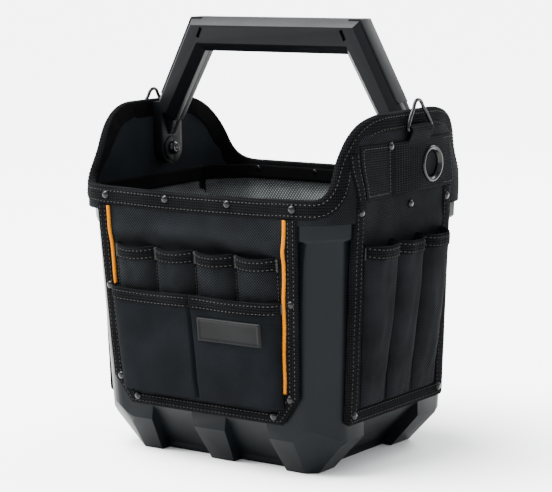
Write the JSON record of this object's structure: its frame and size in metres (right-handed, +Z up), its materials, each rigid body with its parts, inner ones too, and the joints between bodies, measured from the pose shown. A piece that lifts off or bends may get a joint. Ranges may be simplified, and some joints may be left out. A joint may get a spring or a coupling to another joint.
{
  "type": "tool bucket organizer",
  "caption": "Rectangular moulded tool tub with a fabric collar and raised side ears, pocket panels on every side, shoulder-strap rings and a swinging trapezoid carry handle.",
  "frame": {"origin": "under the middle of the object, on the surface it stands on", "axes": "+Z up, -Y towards the front with the patch, +X to the right seen from the front"},
  "size_m": [0.3342, 0.274, 0.424],
  "materials": {
    "tub_plastic": "fine moulded texture, dark slate grey",
    "handle_plastic": "satin moulded, dark grey",
    "board_plastic": "stiffener sheet",
    "black_fabric": "coarse woven polyester",
    "pouch_fabric": "heavy woven polyester, slate black",
    "edge_tape": "ribbed binding tape, grey stitching",
    "webbing": "ribbed webbing",
    "liner_fabric": "diagonal weave, mid grey",
    "lining_fabric": "smooth coated fabric",
    "orange_piping": "satin cord",
    "patch_rubber": "moulded soft patch, raised border",
    "dark_metal": "black nickel, glossy",
    "zinc_steel": "zinc plated"
  },
  "bodies": {
    "organizer": {"tub": "tub_plastic", "liner": "liner_fabric", "liner_band": "edge_tape", "rim_rivet_1": "dark_metal", "rim_rivet_2": "dark_metal", "rim_rivet_3": "dark_metal", "rim_rivet_4": "dark_metal", "collar_front": "black_fabric", "rim_binding_front": "edge_tape", "collar_back": "black_fabric", "rim_binding_back": "edge_tape", "ear_outer_left": "black_fabric", "ear_board_left": "board_plastic", "ear_lining_left": "lining_fabric", "ear_binding_left": "edge_tape", "web_band_left": "webbing", "grommet_left": "dark_metal", "ring_tab_left": "webbing", "pivot_bolt_left": "dark_metal", "pivot_nut_left": "zinc_steel", "ear_outer_right": "black_fabric", "ear_board_right": "board_plastic", "ear_lining_right": "lining_fabric", "ear_binding_right": "edge_tape", "web_band_right": "webbing", "grommet_right": "dark_metal", "ring_tab_right": "webbing", "pivot_bolt_right": "dark_metal", "pivot_nut_right": "zinc_steel", "front_panel": "black_fabric", "front_panel_binding": "edge_tape", "front_piping_left": "orange_piping", "front_piping_right": "orange_piping", "front_tool_pockets": "black_fabric", "front_pouches": "pouch_fabric", "back_panel": "black_fabric", "back_panel_binding": "edge_tape", "back_piping_left": "orange_piping", "back_piping_right": "orange_piping", "back_tool_pockets": "black_fabric", "back_pouches": "pouch_fabric", "panel_rivet_left": "dark_metal", "panel_rivet_right": "dark_metal", "front_patch": "patch_rubber", "side_panel_left": "black_fabric", "side_panel_binding_left": "edge_tape", "side_pocket_front_left": "black_fabric", "side_pocket_middle_left": "black_fabric", "side_pocket_rear_left": "black_fabric", "side_panel_right": "black_fabric", "side_panel_binding_right": "edge_tape", "side_pocket_front_right": "black_fabric", "side_pocket_middle_right": "black_fabric", "side_pocket_rear_right": "black_fabric"},
    "handle": {"handle_trim_left": "handle_plastic", "handle_trim_right": "handle_plastic", "handle_front_shell": "handle_plastic", "handle_rear_shell": "handle_plastic"},
    "d_ring_right": {"d_ring_right": "dark_metal"},
    "d_ring_left": {"d_ring_left": "dark_metal"}
  },
  "joints": [
    {"name": "handle_swing", "type": "hinge", "parent": "organizer", "child": "handle", "pos_m": [0, 0.0139, 0.2887], "axis": [1, 0, 0], "range_deg": [-85, 85]},
    {"name": "d_ring_right_swing", "type": "hinge", "parent": "organizer", "child": "d_ring_right", "pos_m": [0.1632, 0.0139, 0.321], "axis": [0, 1, 0], "range_deg": [0, 150]},
    {"name": "d_ring_left_swing", "type": "hinge", "parent": "organizer", "child": "d_ring_left", "pos_m": [-0.1632, 0.0139, 0.321], "axis": [0, -1, 0], "range_deg": [0, 150]}
  ]
}
